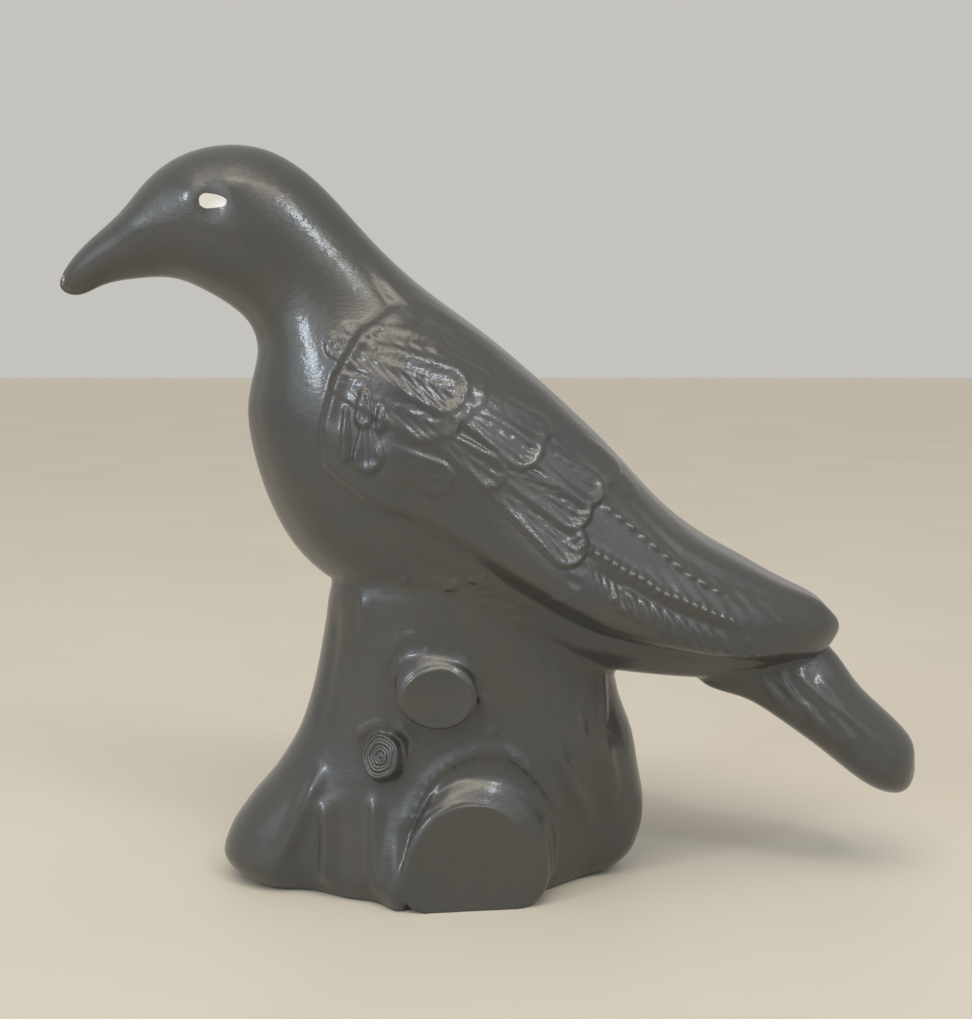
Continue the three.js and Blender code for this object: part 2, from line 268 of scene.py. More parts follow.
def normals_of(points, triangles):
    """Each point's normal: the cross products of its triangles, added up and made one long."""
    a, b, c = (points[triangles[:, k]] for k in range(3))
    cross = np.cross(b - a, c - a)
    sums = [
        sum(np.bincount(triangles[:, k], cross[:, axis], len(points)) for k in range(3)) for axis in range(3)
    ]
    total = np.stack(sums, 1)
    return total / np.maximum(np.linalg.norm(total, axis=1), 1e-12)[:, None]


def carve(rings, start, end, height_at):
    """The skin with each point moved along its normal by the height at its x, z and y."""
    points, triangles = skin(rings, start, end)
    outward = normals_of(points, triangles)
    faded, full = 0.12, 0.55
    lift = height_at(*points[:, [0, 2, 1]].T) * smooth(faded, full, np.abs(outward[:, 1]))
    lift[-2:] = 0
    return points + outward * lift[:, None], triangles


def middle(ring):
    """The mean of a ring's points."""
    return ring.mean(axis=0)


# %% [markdown]
# ## Measuring along a drawn line
#
# Every mark on the flank is a short word in the same language: a line drawn in side view, and how far a
# point is from it. A ridge is highest on the line and falls off to both sides. A rope is a ridge with
# notches, so it also needs to know how far along the line the point lies. Strokes that cross a band, like the
# barbs of a feather, need both measures at once.


# %% Distance, run and side
def measure(path, x, z):
    """For each point of the side view: distance to the path, run along it, and on which side it lies.

    For each piece of the path the nearest place is (p - a).(b - a) / |b - a|^2, held between 0 and 1, and the
    nearest piece is kept. The side is positive to the left of the path's direction.
    """
    path = np.array(path, float)
    best = np.full(x.shape, np.inf)
    run, side = np.zeros(x.shape), np.zeros(x.shape)
    done = 0.0
    for (ax, az), (bx, bz) in zip(path[:-1], path[1:]):
        step = np.hypot(bx - ax, bz - az)
        ux, uz = (bx - ax) / step, (bz - az) / step
        along = (x - ax) * ux + (z - az) * uz
        held = np.clip(along, 0, step)
        off = np.hypot(x - ax - held * ux, z - az - held * uz)
        nearer = off < best
        best = np.where(nearer, off, best)
        run = np.where(nearer, done + held, run)
        side = np.where(nearer, (z - az) * ux - (x - ax) * uz, side)
        done += step
    return best, run, side


def length_of(path):
    """The sum of the lengths of a path's pieces."""
    return np.hypot(*np.diff(np.array(path, float), axis=0).T).sum()


def ridge(path, x, z, height, half_width, fade=0.0):
    """height exp(-(distance / half width)^2), faded to nothing over the first and last fade of the run."""
    distance, run, side = measure(path, x, z)
    ends = smooth(0, fade, run) * smooth(0, fade, length_of(path) - run) if fade else 1
    return height * ends * np.exp(-((distance / half_width) ** 2))


def pad(centre_x, centre_z, x, z, radius, height):
    """height exp(-(distance from the centre / radius)^2)."""
    return height * np.exp(-((x - centre_x) ** 2 + (z - centre_z) ** 2) / radius**2)


def rope(path, x, z, height, half_width, notch, slant=0.0, fade=2.0):
    """A faded ridge whose height swings between 0.3 and 1 of itself once for each notch along the run."""
    distance, run, side = measure(path, x, z)
    swing = 0.65 + 0.35 * np.cos(2 * np.pi * (run + slant * side) / notch)
    ends = smooth(0, fade, run) * smooth(0, fade, length_of(path) - run)
    return height * ends * swing * np.exp(-((distance / half_width) ** 2))


def strokes(path, x, z, height, half_band, gap, slant, fullness=1.0, lean=0.0):
    """Strokes across a band: height cos(2 pi (run + slant side) / gap), faded at the band's edges and ends.

    A fullness over 1 makes the strokes broad with thin grooves between them, and a lean lets them stand out
    more at the lower border of the band than at the upper one.
    """
    distance, run, side = measure(path, x, z)
    wave = (0.5 + 0.5 * np.cos(2 * np.pi * (run + slant * side) / gap)) ** (1 / fullness)
    leaning = 1 - lean * np.clip(side / half_band, -1, 1)
    return height * leaning * wave * (1 - smooth(0.6 * half_band, half_band, distance))


def depth_inside(outline, x, z):
    """Distance to a closed outline, positive inside it: a ray to the left crosses it an odd number of times."""
    closed = np.vstack([outline, outline[:1]]).astype(float)
    inside = np.zeros(x.shape, bool)
    for (ax, az), (bx, bz) in zip(closed[:-1], closed[1:]):
        crossing = ax + (bx - ax) * (z - az) / (bz - az if bz != az else 1)
        inside ^= ((az > z) != (bz > z)) & (x < crossing)
    return measure(closed, x, z)[0] * np.where(inside, 1, -1)


# %% [markdown]
# ## The cloak of mantle and folded wing
#
# The largest step in the carving is the edge of the cloak, the outline of the mantle and the closed wing. It
# starts faintly on the neck, folds in to a point above the shoulder, swings round the shoulder and then
# follows the lower edge of the wing to its tip. The step is narrow in front and broad under the wing.
#
# A folded wing is not round like the body under it. Its flat surface slopes outwards all the way down to its
# lower edge, and only there turns under. So the wing swells towards its lower edge, which also makes the long
# feathers face a little upwards and catch the light.

# %% Lines of the cloak, in side view
CLOAK_LIFT = 3.4
CLOAK_EDGE = 4
FRONT_LIFT = 2.6
FRONT_EDGE = 2.4
CLOAK = [
    [-27, 239],
    [-20, 227],
    [-11, 214],
    [-24, 204],
    [-32, 190],
    [-37, 172],
    [-36, 158],
    [-22, 147],
    [-4, 140],
    [13, 131],
    [29, 120],
    [46, 110],
    [61, 102],
    [80, 96],
    [101, 91],
    [125, 88],
    [165, 82],
    [165, 130],
    [60, 205],
    [-10, 260],
]
WING_SWELL = 6
WING_EDGE = [[5, 135], [29, 120], [46, 110], [61, 102], [80, 96], [101, 91], [125, 88], [150, 85]]
CLOAK_HOLLOW = [[-10, 207], [-19, 201], [-25, 193], [-29, 182], [-31, 170]]
WING_TOP_GROOVE = [[-2, 207], [22, 189], [46, 170], [64, 152], [75, 138], [86, 124], [100, 115], [119, 108], [140, 102]]
THIGH_SEAM = [[-9, 128], [3, 121], [21, 112], [36, 105], [52, 99], [66, 93]]
SHOULDER_SWELL = [[-11, 192], [-9, 176], [-11, 158]]
HEAD_PADS = [[-69, 257, 7, 1.3], [-83, 253, 6, 0.9], [-75, 249.5, 4.5, -1.2], [-106, 242, 6, 0.6]]


def wing_swell(x, z):
    """A slope that grows from nothing, high on the wing, to its full height just above the lower edge."""
    side = measure(WING_EDGE, x, z)[2]
    across = smooth(-5, 5, side) * smooth(26, 4, side)
    along = smooth(5, 45, x) * smooth(148, 112, x)
    return WING_SWELL * across * along


def cloak_height(x, z):
    """The step of the cloak's edge, the swell of the wing, the grooves, and the soft forms of the head."""
    behind = smooth(-15, 10, x)
    edge = mix(FRONT_EDGE, CLOAK_EDGE, behind)
    faint_above = 1 - 0.75 * smooth(210, 230, z)
    height = mix(FRONT_LIFT, CLOAK_LIFT, behind) * faint_above * (smooth(-edge, edge, depth_inside(CLOAK, x, z)) - 0.5)
    height += wing_swell(x, z)
    height += ridge(CLOAK_HOLLOW, x, z, -0.8, 3.5, 6)
    height += ridge(SHOULDER_SWELL, x, z, 1.6, 8)
    height += ridge(WING_TOP_GROOVE, x, z, -0.9, 3.5)
    height += ridge(THIGH_SEAM, x, z, -0.9, 3.5, 12)
    for centre_x, centre_z, radius, lift in HEAD_PADS:
        height += pad(centre_x, centre_z, x, z, radius, lift)
    return height


# %% [markdown]
# ## Feathers that overlap
#
# On the shoulder the feathers lie on each other like roof tiles. Each one is a round-ended leaf, given by its
# root, its tip and half its width. The carver hollowed it like a spoon, so its rim stands out, most of all
# near the tip, and it is the inner side of that rim that shines. A thin shaft runs down the middle, and
# barbs leave it at a small angle. The feathers are laid down in order, the lowest first, and a later feather
# hides what lies under it. Only the numbers of a leaf are chosen, and the function does the rest, so a feather
# can be moved by changing its root or tip.


# %% One feather
def feather(x, z, root, tip, half_width, rise, gap, barb, slant):
    """Height of a feather, and how deep a point lies inside its outline.

    The outline is a strip of radius half_width (0.5 + 0.5 t) round a line from the root (t = 0) to the middle
    of the tip's round (t = 1). The height is rise (0.35 + 0.65 lip), where the lip grows towards the rim and
    the tip, plus a thin shaft, plus barbs cos(2 pi (|side| - slant run) / gap) of uneven strength.
    """
    root, tip = np.array(root, float), np.array(tip, float)
    length = np.hypot(*(tip - root))
    ux, uz = (tip - root) / length
    run = (x - root[0]) * ux + (z - root[1]) * uz
    side = (z - root[1]) * ux - (x - root[0]) * uz
    stem = length - half_width
    t = np.clip(run / stem, 0, 1)
    depth = half_width * (0.5 + 0.5 * t) - np.hypot(run - t * stem, side)
    lip = smooth(4.8, 1.1, depth) * (0.25 + 0.75 * t)
    height = rise * (0.35 + 0.65 * lip)
    height += 0.3 * np.exp(-((side / 0.9) ** 2)) * smooth(0, 4, depth)
    uneven = 0.6 + 0.4 * np.cos(0.8 * run + 1.9 * side)
    barbs = np.cos(2 * np.pi * (np.abs(side) - slant * run) / gap)
    return height + barb * uneven * barbs * smooth(0.2, 1.6, depth), depth


def plumage(x, z, feathers, edge=0.7):
    """Feathers laid over each other in order: height = mix(height below, own height, inside the outline)."""
    height = np.zeros(x.shape)
    for leaf in feathers:
        own, depth = feather(x, z, *leaf)
        height = mix(height, own, smooth(-edge, edge, depth))
    return height


# Root, tip, half width, rise, gap, height and slant of the barbs. The long feathers of the back come first,
# then the large coverts of the wing, the middle and the small ones, and the fan on the shoulder last.
FEATHERS = [
    ([-8, 214], [44, 181], 6, 0.4, 3, 0.07, 0.15),
    ([22, 193], [74, 148], 6, 0.3, 3, 0.06, 0.15),
    ([10, 192], [60, 160], 6, 0.5, 3, 0.08, 0.15),
    ([21, 153], [53, 127], 7, 1.5, 2.2, 0.16, 0.25),
    ([38, 175], [66, 152], 5.5, 1.1, 2.2, 0.1, 0.25),
    ([21, 160], [55, 139], 6.5, 1.6, 2.1, 0.2, 0.25),
    ([26, 170], [60, 146], 6, 1.7, 2.1, 0.22, 0.2),
    ([2, 170], [26, 153], 6, 1.2, 2.4, 0.12, 0.3),
    ([10, 178], [38, 160], 7, 1.5, 2.3, 0.16, 0.25),
    ([13, 184], [41, 167], 5.5, 1.3, 2.3, 0.16, 0.25),
    ([-14, 164], [8, 152], 6, 0.8, 2.6, 0.1, 0.3),
    ([-8, 181], [10, 170], 4.5, 1.1, 2, 0.12, 0.3),
    ([-4, 187], [14, 175], 4, 1.1, 2, 0.12, 0.3),
    ([0, 191], [19, 179], 4, 1.1, 2, 0.12, 0.3),
    ([2, 197], [20, 185], 4, 1, 2, 0.12, 0.3),
    ([-30, 187], [6, 171], 8, 1, 2.3, 0.22, 0.35),
    ([-28, 205], [4, 197], 6, 0.9, 2.3, 0.22, 0.4),
    ([-32, 200], [13, 181], 8.5, 1.3, 2.3, 0.27, 0.45),
]
# The small plates on the front of the shoulder: root, tip, half width and rise.
PLATES = [
    ([-21.5, 183], [-21.5, 172], 3.2, 1.1),
    ([-15.6, 178], [-15.8, 170.5], 2.1, 0.9),
    ([-20.5, 171], [-19.8, 156.5], 5.4, 1.3),
    ([-28, 178], [-28, 160], 1.8, 0.7),
]

# %% [markdown]
# ## The long feathers of the wing
#
# Below the coverts the long flight feathers run to the wing tip. The carver marked them with two notched
# ropes for shafts, with faint slanting strokes for the vane between them, and with a row of cuts along the
# lower edge, fine and upright in front and broad blocks behind.

# %% Flight feathers
UPPER_SHAFT = [[58, 146], [64, 141], [69, 137], [74, 133], [80, 128], [84, 125], [90, 120], [98, 115], [108, 110]]
LOWER_SHAFT = [[49, 137], [52, 131], [60, 127], [68, 122], [74, 119], [81, 114], [87, 112], [98, 107], [112, 101]]
UNDER_SHAFT = [[54, 125], [64, 118.5], [74, 113.5], [84, 108.5], [94, 104.5], [108, 99]]
VANE = [[58, 139], [70, 131], [82, 122.5], [94, 115], [112, 106], [130, 100]]
FINE_CUTS = [[53, 121], [59, 118.5], [66, 115.5]]
BLOCKS = [[66, 113.5], [72, 110.5], [80, 106.3], [88, 103], [98, 99.5], [110, 96]]
TERTIALS = [
    [[20, 200], [45, 181], [64, 161], [78, 144], [92, 129]],
    [[60, 152], [74, 139], [88, 126], [104, 117], [124, 109]],
]


def flight_height(x, z):
    """The shafts as ropes, a groove under the lower one, the vane strokes and the row of cuts."""
    height = ridge(UPPER_SHAFT, x, z, 0.5, 2.8, 6) + rope(UPPER_SHAFT, x, z, 1, 1.2, 5.4, 0, 8)
    height += ridge(LOWER_SHAFT, x, z, 0.6, 2.8, 6) + rope(LOWER_SHAFT, x, z, 1.1, 1.3, 3.5, 0, 8)
    height += ridge(UNDER_SHAFT, x, z, -1.1, 1.8, 10)
    height += strokes(VANE, x, z, 0.22, 6.5, 9.8, 2)
    height += strokes(FINE_CUTS, x, z, 0.55, 7.5, 2.9, 0.6, 1, 0.5)
    height += strokes(BLOCKS, x, z, 1.1, 4.2, 5, 1, 2.2, 0.7)
    for path in TERTIALS:
        height += ridge(path, x, z, -0.5, 1.8, 10)
    return height


# %% [markdown]
# ## The thigh, and the whole relief of the flank
#
# Under the wing the thigh is covered with short curled tufts. They have no order that matters, so their
# places come from a fixed seed and are the same on every run. The far side of a figure like this is carved
# more plainly. It keeps every large form but leaves out the small tufts and plates.

# %% Relief of the body
TUFT_COUNT = 26
TUFT_BOX = [[-30, 98], [46, 118]]
random = np.random.default_rng(7)
tuft_places = random.uniform(*TUFT_BOX, size=(TUFT_COUNT, 2))
tuft_turns = random.uniform(-0.9, 0.3, TUFT_COUNT)


def tuft(centre, turn):
    """A short bent line of three points, 6 mm long, that curls upwards at its end."""
    length, curl = 6, 0.9
    step = np.array([np.cos(turn), np.sin(turn)]) * length / 2
    curled = np.array([np.cos(turn + curl), np.sin(turn + curl)]) * length / 2
    return [centre - step, centre, centre + curled]


def feather_height(x, z, y):
    """The cloak, the overlapping feathers inside it, the flight feathers, and on the left the fine marks."""
    height = cloak_height(x, z) + plumage(x, z, FEATHERS) + flight_height(x, z)
    fine = np.zeros(x.shape)
    for root, tip, half_width, rise in PLATES:
        own, depth = feather(x, z, root, tip, half_width, rise, 1.9, 0.14, 0)
        fine += (own + 0.4) * smooth(-0.6, 0.8, depth)
    for centre, turn in zip(tuft_places, tuft_turns):
        fine += ridge(tuft(centre, turn), x, z, 0.45, 1)
    return height + fine * (y < 0)


body_points, body_faces = carve(body_rings, [BEAK_TIP[0], 0, BEAK_TIP[1]], [WING_TIP[0], 0, WING_TIP[1]], feather_height)
print("body:", len(body_faces), "triangles, widest", round(float(np.ptp(body_points[:, 1])), 1), "mm")

# %% [markdown]
# ## The tail
#
# The tail is a flattened bundle of long feathers that comes out from under the wing tips and ends almost
# square. It has its own pair of outlines, made with the same functions, and its root lies deep inside the
# body, so that the two forms pass through each other before they are joined.

# %% Stations of the tail, in millimetres
TAIL_ROOT = [98, 96]
TAIL_END = [181.8, 40]
TAIL_STATIONS = [
    [118, 104, 100, 75, 9],
    [135, 96, 115.3, 68.6, 11.5],
    [149.6, 86.6, 129.1, 60.8, 14.5],
    [158.7, 74.6, 141.5, 52, 16.8],
    [168.5, 64.8, 152, 43.8, 18],
    [177.2, 56.4, 163.5, 35.4, 17.5],
    [181, 50.4, 170.6, 32.6, 14],
    [181.6, 45, 176.8, 33.2, 9],
]
TAIL_DROOP = 0.28
TAIL_RINGS = 74
TAIL_SIDES = 80
TAIL_SHAFTS = [[[120, 79], [133, 65]], [[128, 79], [143, 61]], [[136, 79], [153, 56]], [[144, 76], [163, 53]]]
TAIL_CUTS = [[[121, 78], [130, 68]], [[128, 77.5], [136, 67]], [[136.5, 69.5], [142.5, 61]], [[143, 62.5], [148, 55]]]
TAIL_QUILL = [[132, 80], [143, 71.5], [154, 63], [166, 53]]


def tail_height(x, z, y):
    """Broad shafts, four cuts beside them, and one thin quill along the upper side."""
    height = sum(ridge(path, x, z, 0.9, 2.2) for path in TAIL_SHAFTS)
    for path in TAIL_CUTS:
        height += ridge(path, x, z, 0.9, 1.1, 3) - ridge(np.add(path, [2.3, 1.4]), x, z, 0.7, 1, 3)
    return height + ridge(TAIL_QUILL, x, z, 0.7, 0.9, 5)


tail_shares = crowded(TAIL_RINGS + 1, [(0.95, 0.15, 1)])[1:]
tail_turns = 2 * np.pi * crowded(TAIL_SIDES, [(0.25, 0.12, 1), (0.75, 0.12, 1)])
tail_rings = loft(TAIL_STATIONS, TAIL_ROOT, TAIL_END, tail_shares, tail_turns, np.full(TAIL_RINGS, 2.2), TAIL_DROOP)
tail_points, tail_faces = carve(tail_rings, [TAIL_ROOT[0], 0, TAIL_ROOT[1]], [TAIL_END[0], 0, TAIL_END[1]], tail_height)
print("tail:", len(tail_faces), "triangles")

# %% [markdown]
# ## The stump
#
# The stump is lofted the other way, from the ground up: each height has a left end, a right end and half a
# depth. Its foot swells towards the viewer where the roots run out, which is one smooth bump of the half
# depth for each root. It starts four millimetres below the ground, so that a flat cut can give it its
# underside at the end.

# %% Stations of the stump: height, left end, right end, half depth
STUMP_STATIONS = [
    [-4, -62, 54, 26],
    [0, -69, 62, 31.5],
    [3, -74.5, 68.5, 34],
    [9, -79.2, 74.8, 35.5],
    [19, -76.5, 78.6, 35],
    [30, -69.2, 79.4, 34.2],
    [42, -59.2, 77.4, 33.6],
    [56, -50.6, 74.8, 33.2],
    [70, -45.6, 69.8, 33],
    [84, -42.3, 67, 33.4],
    [98, -39.8, 64, 34.5],
    [111, -37.5, 54, 34.5],
    [121, -32, 42, 30],
    [126, -24, 32, 21],
]
STUMP_CORNERS = 2.2
# At x, how far the foot swells, half the width of the swelling, and the height where it has faded.
FOOT_SWELLINGS = [[-45, -7, 12, 40], [-11, 9, 6.5, 44], [62, -19, 18, 66]]
STUMP_RINGS = 96
STUMP_SIDES = 216


def stump_rings():
    """Rings whose ends and half depth follow open splines through the stations."""
    table = np.array(STUMP_STATIONS, float)
    at = np.append(crowded(STUMP_RINGS - 1, [(0.45, 0.2, 1.2)]), 1) * (len(table) - 1)
    left, right, depth = (open_spline(table[:, [column, 0]], at) for column in (1, 2, 3))
    height = (left[:, 1] + right[:, 1] + depth[:, 1]) / 3
    turns = 2 * np.pi * crowded(STUMP_SIDES, [(0.75, 0.15, 2.4)])
    across, out = section(turns, STUMP_CORNERS)
    x = mix(left[:, :1], right[:, :1], (1 + across[None, :]) / 2)
    swelling = np.zeros(x.shape)
    for centre, reach, half_width, faded in FOOT_SWELLINGS:
        swelling += reach * np.exp(-(((x - centre) / half_width) ** 2)) * (1 - smooth(0, faded, height))[:, None]
    y = (depth[:, :1] + swelling * (out < 0)) * out
    return np.stack([x, y, np.broadcast_to(height[:, None], x.shape)], -1)


# %% [markdown]
# ## Bark, roots and the marks round the log
#
# The bark is simple. Root ridges taper off up the stump and run out near the ground, shallow furrows lie
# above them, and soft folds mark where the log and the broken branch grow out. A hollow with a raised brim
# holds the knot.

# %% Relief of the stump
# Each root or fold: its line in side view, its height, half its width, and the length of its tapered ends.
ROOTS = [
    ([[-38, 50], [-40.5, 44.5], [-45, 34], [-51, 22.5], [-57, 8]], 2.5, 3, 12),
    ([[-38.5, 39], [-37, 26], [-37.5, 12], [-38.5, 3]], 2.2, 3, 9),
    ([[-20, 42], [-19.5, 25], [-19, 12], [-18.5, 3]], 1.8, 2.6, 9),
    ([[43.5, 62], [46, 54], [49.5, 45], [55, 34], [60, 22]], 2.4, 2.7, 12),
    ([[54, 70], [55, 58], [55, 47], [57, 38]], 1.3, 1.6, 9),
    ([[62, 60], [66, 43], [67.5, 28]], 1.9, 2.5, 9),
]
FOLDS = [
    ([[-24.5, 114], [-23.5, 105], [-24, 95]], 0.9, 1.8, 6),
    ([[62, 88], [63, 72], [63, 58]], 0.9, 1.3, 9),
    ([[16, 79], [20, 73], [24, 66], [21, 60]], 1.6, 2.1, 5),
    ([[-14, 66.5], [-8, 62.5], [-6, 59], [-9, 51]], 1.1, 2, 5),
    ([[-28, 56], [-25, 62], [-20, 64.6], [-13, 64.8]], 1, 1.5, 5),
]
FURROWS = [
    ([[-34, 112], [-35, 92], [-38, 74], [-43, 56]], -0.6, 2, 12),
    ([[-29, 96], [-28, 82], [-31, 66]], -0.4, 1.8, 9),
    ([[30, 96], [32, 82], [34, 68]], -0.5, 1.6, 9),
    ([[41, 98], [43, 84], [44, 66]], -0.5, 1.6, 9),
    ([[50, 94], [52, 80], [52, 66]], -0.5, 1.6, 9),
]
LOG_COLLAR = [[-9, 27], [-5, 38], [-1, 45.5], [5, 51], [11, 54.5], [18, 57], [27, 56], [34, 51.5], [42, 42], [46, 31]]
BRANCH_COLLAR = [[-15.5, 82], [-15, 89.5], [-10.5, 96], [-5, 98], [3, 96], [10, 92.5], [15, 87.5], [18, 80]]
KNOT_CENTRE = [-17.6, 54.6]


def bark_height(x, z, y):
    """Roots and furrows all round, and on the left the folds, the two collars and the knot's hollow."""
    height = sum(ridge(path, x, z, *shape) for path, *shape in ROOTS + FURROWS)
    marks = sum(ridge(path, x, z, *shape) for path, *shape in FOLDS)
    marks += ridge(LOG_COLLAR, x, z, 1.4, 3, 6) + ridge(BRANCH_COLLAR, x, z, 1.3, 2.4, 6)
    marks += pad(-38.5, 35, x, z, 5, 0.8) + pad(*KNOT_CENTRE, x, z, 8.5, -1.8)
    return height + marks * (y < 0)


stump_grid = stump_rings()
stump_points, stump_faces = carve(stump_grid, middle(stump_grid[0]), middle(stump_grid[-1]), bark_height)
print("stump:", len(stump_faces), "triangles")

# %% [markdown]
# ## The sawn log, the broken branch and the knot
#
# Three smaller forms grow out of the stump towards the viewer. The log is a thick round that ends in a sawn
# face with faint growth rings, the branch is a short snapped stub, and the knot is a small disc of rings
# that lies in a hollow. The first two are a profile carried along a path: sections that move towards the
# viewer, with the last one drawn in to its middle for the face. The knot is turned about its own axis.

# %% Sections of the log and of the branch
# Towards the viewer: y, centre x, half width, widest height and top.
LOG_SECTIONS = [
    [-10, 20, 24, 22, 54],
    [-25, 20, 25, 20, 56.5],
    [-31.5, 19, 25.6, 17, 54],
    [-33.6, 18, 25.8, 15, 48],
    [-37, 16.8, 25.8, 12, 43.8],
    [-39.2, 15.4, 25.4, 9, 40.6],
    [-40.6, 14.8, 23.4, 9, 38.6],
]
LOG_TURN = 0.13
LOG_SIDES = 112
# y, centre x, centre z, half width and half height.
BRANCH_SECTIONS = [
    [-11, 1, 85, 13.5, 13.5],
    [-28, 1.2, 84.4, 14.2, 13.2],
    [-34, 2, 81, 14, 12.4],
    [-38.2, 3, 77.4, 13.8, 11.6],
    [-39.4, 3.2, 76.6, 12.2, 10.2],
]
BRANCH_SIDES = 72


def face_rings(rim, count, dish):
    """The sawn face: the rim drawn in to its middle, in rings, and hollowed by dish (1 - share)^2 at most."""
    share = np.linspace(1, 0, count + 1)[1:-1, None, None]
    rings = middle(rim) + (rim - middle(rim)) * share
    rings[..., 1] += dish * (1 - share[..., 0] ** 2)
    return rings


def log_rings():
    """Round above and flatter below, turned a little so that the face looks slightly to the left."""
    table = np.array(LOG_SECTIONS, float)
    at = crowded(33, [(1, 0.3, 2)]) * (len(table) - 1)
    y, x, half_width, widest, top = open_spline(table, np.append(at, len(table) - 1)).T[:, :, None]
    turns = 2 * np.pi * np.arange(LOG_SIDES)[None, :] / LOG_SIDES
    upper = np.cos(turns) > 0
    rise, out = section(turns, np.where(upper, 2.1, 2.8))
    across = -half_width * out
    height = widest + np.where(upper, top - widest, widest + 1.5) * rise
    rings = np.stack([x + across, y + LOG_TURN * across, height], -1)
    return np.concatenate([rings, face_rings(rings[-1], 16, 0.6)])


def branch_rings():
    """Ellipses towards the viewer, closed by a dished face."""
    table = np.array(BRANCH_SECTIONS, float)
    at = crowded(22, [(1, 0.3, 2)]) * (len(table) - 1)
    y, x, z, half_width, half_height = open_spline(table, np.append(at, len(table) - 1)).T[:, :, None]
    turns = 2 * np.pi * np.arange(BRANCH_SIDES)[None, :] / BRANCH_SIDES
    rings = np.stack([x - half_width * np.sin(turns), y + 0 * turns, z + half_height * np.cos(turns)], -1)
    return np.concatenate([rings, face_rings(rings[-1], 10, 1.2)])


def ring_marks(centre, squash, gap, height, start_y):
    """Growth rings on a sawn face: height cos(2 pi r / gap), where r is the distance from the pith."""

    def height_at(x, z, y):
        wobble = 0.4 * np.sin(3 * np.arctan2(z - centre[1], x - centre[0]) + 1)
        distance = np.hypot(x - centre[0], (z - centre[1]) / squash) + wobble
        return height * np.cos(2 * np.pi * distance / gap) * smooth(start_y, start_y - 1, y)

    return height_at


log_grid = log_rings()
log_points, log_faces = carve(
    log_grid, middle(log_grid[0]), middle(log_grid[-1]), ring_marks([15, 14], 1.1, 3, 0.12, -39.4)
)
branch_grid = branch_rings()
branch_points, branch_faces = carve(
    branch_grid, middle(branch_grid[0]), middle(branch_grid[-1]), ring_marks([3, 77], 0.85, 3, 0.12, -38)
)
print("log and branch:", len(log_faces) + len(branch_faces), "triangles")

# %% The knot
KNOT_DEPTH = -33.6
KNOT_RADIUS = 7.2
KNOT_GAP = 2.25
KNOT_SIDES = 64
KNOT_AXIS = np.array([-0.33, -0.86, 0.36])


def knot_rings():
    """A disc about a slanting axis, whose face carries rings 0.5 + 0.5 cos(2 pi r / gap) high."""
    axis = KNOT_AXIS / np.linalg.norm(KNOT_AXIS)
    right = np.cross([0, 0, 1], axis)
    right /= np.linalg.norm(right)
    up = np.cross(axis, right)
    radius = np.concatenate([np.full(4, KNOT_RADIUS), np.linspace(KNOT_RADIUS - 0.25, 0.4, 27)])[:, None]
    out = np.concatenate([np.linspace(-9, 0, 4), np.zeros(27)])[:, None]
    turns = 2 * np.pi * np.arange(KNOT_SIDES)[None, :] / KNOT_SIDES
    wobble = 1 + 0.05 * np.sin(2 * turns + 1) + 0.03 * np.sin(5 * turns)
    rings = 0.45 * (1 + np.cos(2 * np.pi * radius / KNOT_GAP))
    out = out + rings * smooth(KNOT_RADIUS, KNOT_RADIUS - 0.7, radius) + 0 * turns
    place = np.array([KNOT_CENTRE[0], KNOT_DEPTH, KNOT_CENTRE[1]])
    across, rise = -radius * wobble * np.sin(turns), 1.06 * radius * wobble * np.cos(turns)
    return place + across[..., None] * right + rise[..., None] * up + out[..., None] * axis


knot_grid = knot_rings()
knot_points, knot_faces = skin(knot_grid, middle(knot_grid[0]), middle(knot_grid[-1]))
print("knot:", len(knot_faces), "triangles")

# %% [markdown]
# ## One casting from six forms
#
# The mould knows nothing of six forms, so neither should the mesh. A Boolean union keeps only the outer
# surface. Each form first gets a material slot of its own. After the union two faces with different slots
# share an edge exactly where two forms meet, and that is where the casting is rounded.


# %% Meshes and the union
def mesh_of(name, points, triangles):
    """A mesh from points in millimetres and triangles."""
    mesh = bpy.data.meshes.new(name)
    mesh.vertices.add(len(points))
    mesh.vertices.foreach_set("co", (points * MM).astype(np.float32).ravel())
    mesh.loops.add(3 * len(triangles))
    mesh.loops.foreach_set("vertex_index", triangles.astype(np.int32).ravel())
    mesh.polygons.add(len(triangles))
    mesh.polygons.foreach_set("loop_start", np.arange(0, 3 * len(triangles), 3, dtype=np.int32))
    mesh.update(calc_edges=True)
    return mesh


def object_of(name, mesh):
    """A new object in the scene that shows the mesh."""
    made = bpy.data.objects.new(name, mesh)
    bpy.context.scene.collection.objects.link(made)
    return made


def combine(piece, other, operation):
    """Joins other to piece, or cuts it away, and removes other."""
    step = piece.modifiers.new("combine", "BOOLEAN")
    step.operation = operation
    step.solver = "MANIFOLD"
    step.material_mode = "INDEX"
    step.object = other
    bpy.context.view_layer.update()
    shown = piece.evaluated_get(bpy.context.evaluated_depsgraph_get())
    result = bpy.data.meshes.new_from_object(shown)
    piece.modifiers.clear()
    piece.data = result
    bpy.data.objects.remove(other)


FORMS = {
    "body": (body_points, body_faces),
    "tail": (tail_points, tail_faces),
    "stump": (stump_points, stump_faces),
    "log": (log_points, log_faces),
    "branch": (branch_points, branch_faces),
    "knot": (knot_points, knot_faces),
}
marker = {name: bpy.data.materials.new("form_" + name) for name in FORMS}
parts = []
for number, (name, (points, triangles)) in enumerate(FORMS.items()):
    mesh = mesh_of("form_" + name, points, triangles)
    for material in marker.values():
        mesh.materials.append(material)
    mesh.polygons.foreach_set("material_index", np.full(len(triangles), number, np.int32))
    parts.append(object_of("form_" + name, mesh))

raven = parts[0]
raven.name = "raven_casting"
for other in parts[1:]:
    combine(raven, other, "UNION")
print("union:", len(raven.data.vertices), "points,", len(raven.data.polygons), "faces")

